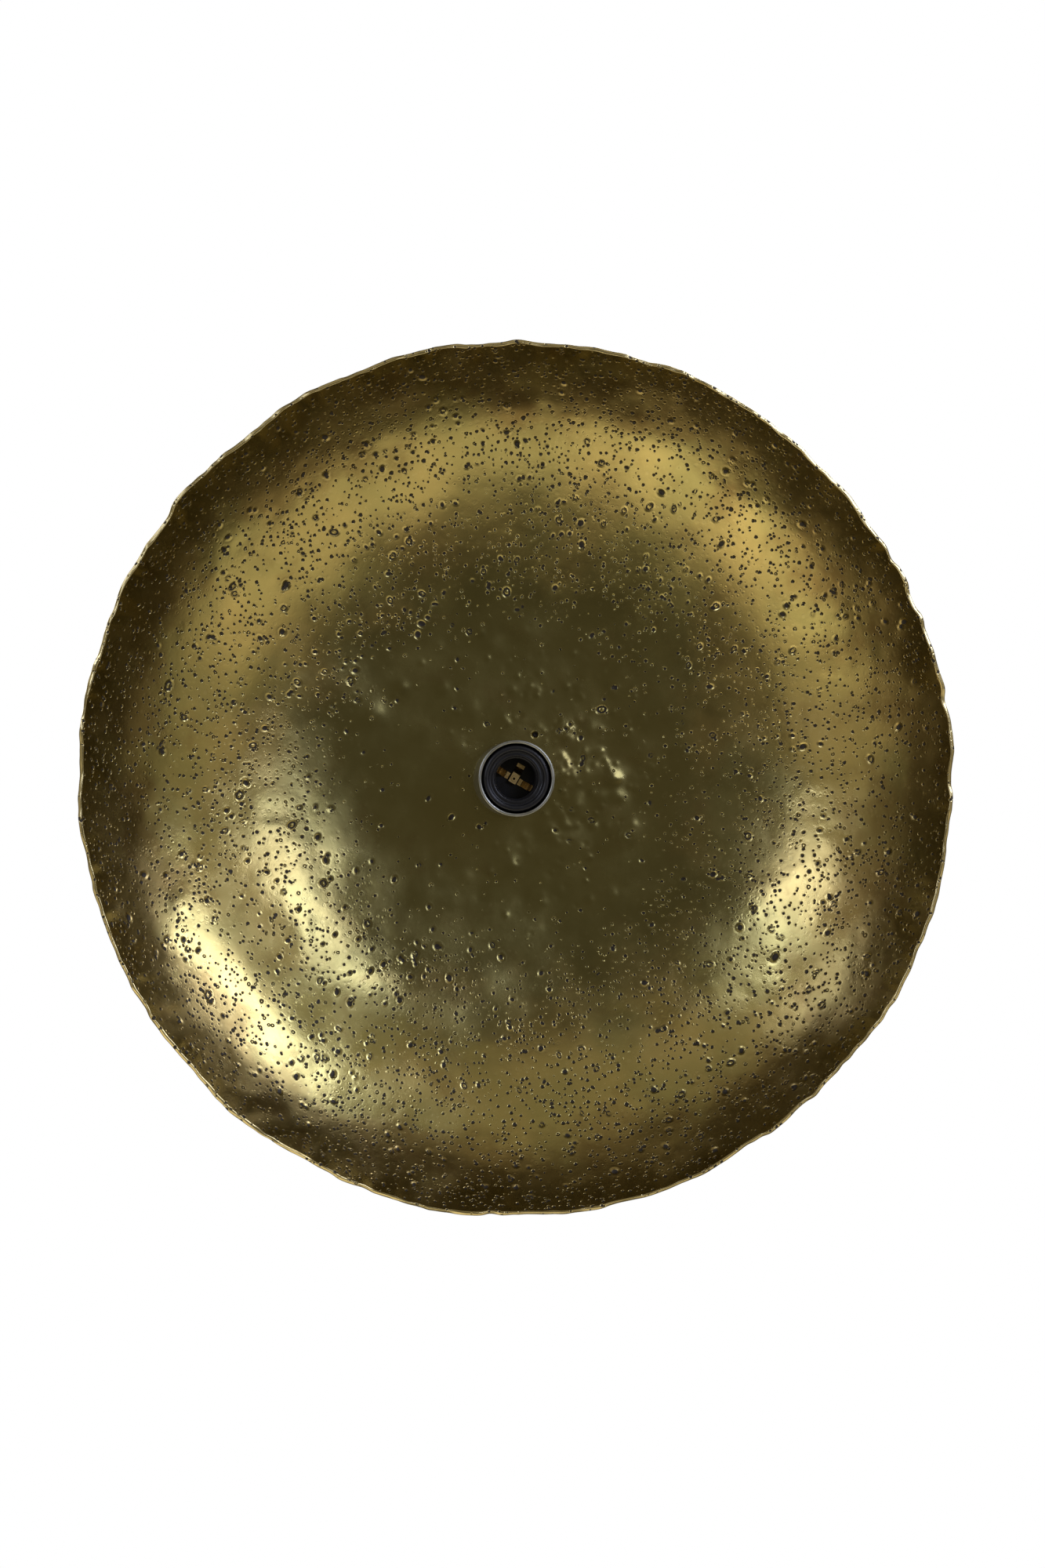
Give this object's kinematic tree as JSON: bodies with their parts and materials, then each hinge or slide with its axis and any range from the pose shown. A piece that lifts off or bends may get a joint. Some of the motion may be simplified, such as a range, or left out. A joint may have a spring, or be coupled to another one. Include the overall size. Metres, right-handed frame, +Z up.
{
  "type": "wall lamp",
  "caption": "Round dish lamp for a wall or ceiling: a pitted cast-metal dish around a central screw-cap lampholder, on a shallow canopy and wall bracket.",
  "frame": {"origin": "on the wall plane, in the middle between the two slots for the wall screws, on the lamp's axis", "axes": "+Y into the wall, -Y out into the room along the lamp's axis, +Z up, +X to the right as seen from the room"},
  "size_m": [0.51, 0.1315, 0.51],
  "materials": {
    "cast_brass": "antique cast brass with dark patina in its pits",
    "canopy_brass": "antique brass, satin",
    "cup_metal": "satin nickel",
    "black_plastic": "moulded black plastic",
    "contact_brass": "bright spring brass",
    "zinc_steel": "zinc-plated steel",
    "black_rubber": "soft rubber",
    "black_fibre": "pressed fibre",
    "white_plastic": "natural nylon",
    "brown_wire": "insulation",
    "blue_wire": "insulation",
    "green_yellow_wire": "insulation"
  },
  "bodies": {
    "lamp": {"dish": "cast_brass", "dish_gasket": "black_rubber", "canopy": "canopy_brass", "wall_bracket": "zinc_steel", "threaded_rod": "zinc_steel", "rear_lock_nut": "zinc_steel", "rear_lock_washer": "zinc_steel", "front_lock_nut": "zinc_steel", "front_lock_washer": "zinc_steel", "holder_cup": "cup_metal", "holder_dome": "black_plastic", "entry_bush": "zinc_steel", "entry_grub_screw": "zinc_steel", "contact_block": "black_plastic", "holder_shell": "black_plastic", "contact_feet": "contact_brass", "contact_rivets": "contact_brass", "holder_terminals": "contact_brass", "holder_terminal_screws": "zinc_steel", "terminal_block": "white_plastic", "terminal_sleeves": "contact_brass", "terminal_block_screws": "zinc_steel", "block_fixing_screw": "zinc_steel", "earth_lug": "contact_brass", "earth_screw": "zinc_steel", "wire_live": "brown_wire", "wire_neutral": "blue_wire", "wire_earth": "green_yellow_wire"},
    "centre_contact": {"centre_contact": "contact_brass"},
    "side_contact_left": {"side_contact_left": "contact_brass"},
    "side_contact_right": {"side_contact_right": "contact_brass"},
    "side_washer_left": {"side_washer_left": "black_fibre"},
    "side_washer_right": {"side_washer_right": "black_fibre"},
    "side_screw_left": {"side_screw_left": "canopy_brass"},
    "side_screw_right": {"side_screw_right": "canopy_brass"}
  },
  "joints": [
    {"name": "centre_contact_press", "type": "hinge", "parent": "lamp", "child": "centre_contact", "pos_m": [0.00352, -0.06365, 0.00611], "axis": [0.866, 0, -0.5], "range_deg": [0, 12], "stiffness_Nm_per_rad": 0.1},
    {"name": "left_contact_press", "type": "hinge", "parent": "lamp", "child": "side_contact_left", "pos_m": [-0.00533, -0.06365, 0.00308], "axis": [-0.5, 0, -0.866], "range_deg": [0, 5], "stiffness_Nm_per_rad": 0.15},
    {"name": "right_contact_press", "type": "hinge", "parent": "lamp", "child": "side_contact_right", "pos_m": [0.00533, -0.06365, -0.00308], "axis": [0.5, 0, 0.866], "range_deg": [0, 5], "stiffness_Nm_per_rad": 0.15},
    {"name": "left_screw_travel", "type": "slide", "parent": "lamp", "child": "side_washer_left", "axis": [-1, 0, 0], "range_m": [0, 0.007]},
    {"name": "left_screw_turn", "type": "hinge", "parent": "side_washer_left", "child": "side_screw_left", "pos_m": [-0.06, -0.009, 0], "axis": [-1, 0, 0], "range_deg": [0, 3605]},
    {"name": "right_screw_travel", "type": "slide", "parent": "lamp", "child": "side_washer_right", "axis": [1, 0, 0], "range_m": [0, 0.007]},
    {"name": "right_screw_turn", "type": "hinge", "parent": "side_washer_right", "child": "side_screw_right", "pos_m": [0.06, -0.009, 0], "axis": [1, 0, 0], "range_deg": [0, 3605]}
  ],
  "couplings": [
    {"joint": "left_screw_turn", "follows": "left_screw_travel", "rad_per_m": 8976},
    {"joint": "right_screw_turn", "follows": "right_screw_travel", "rad_per_m": 8976}
  ]
}
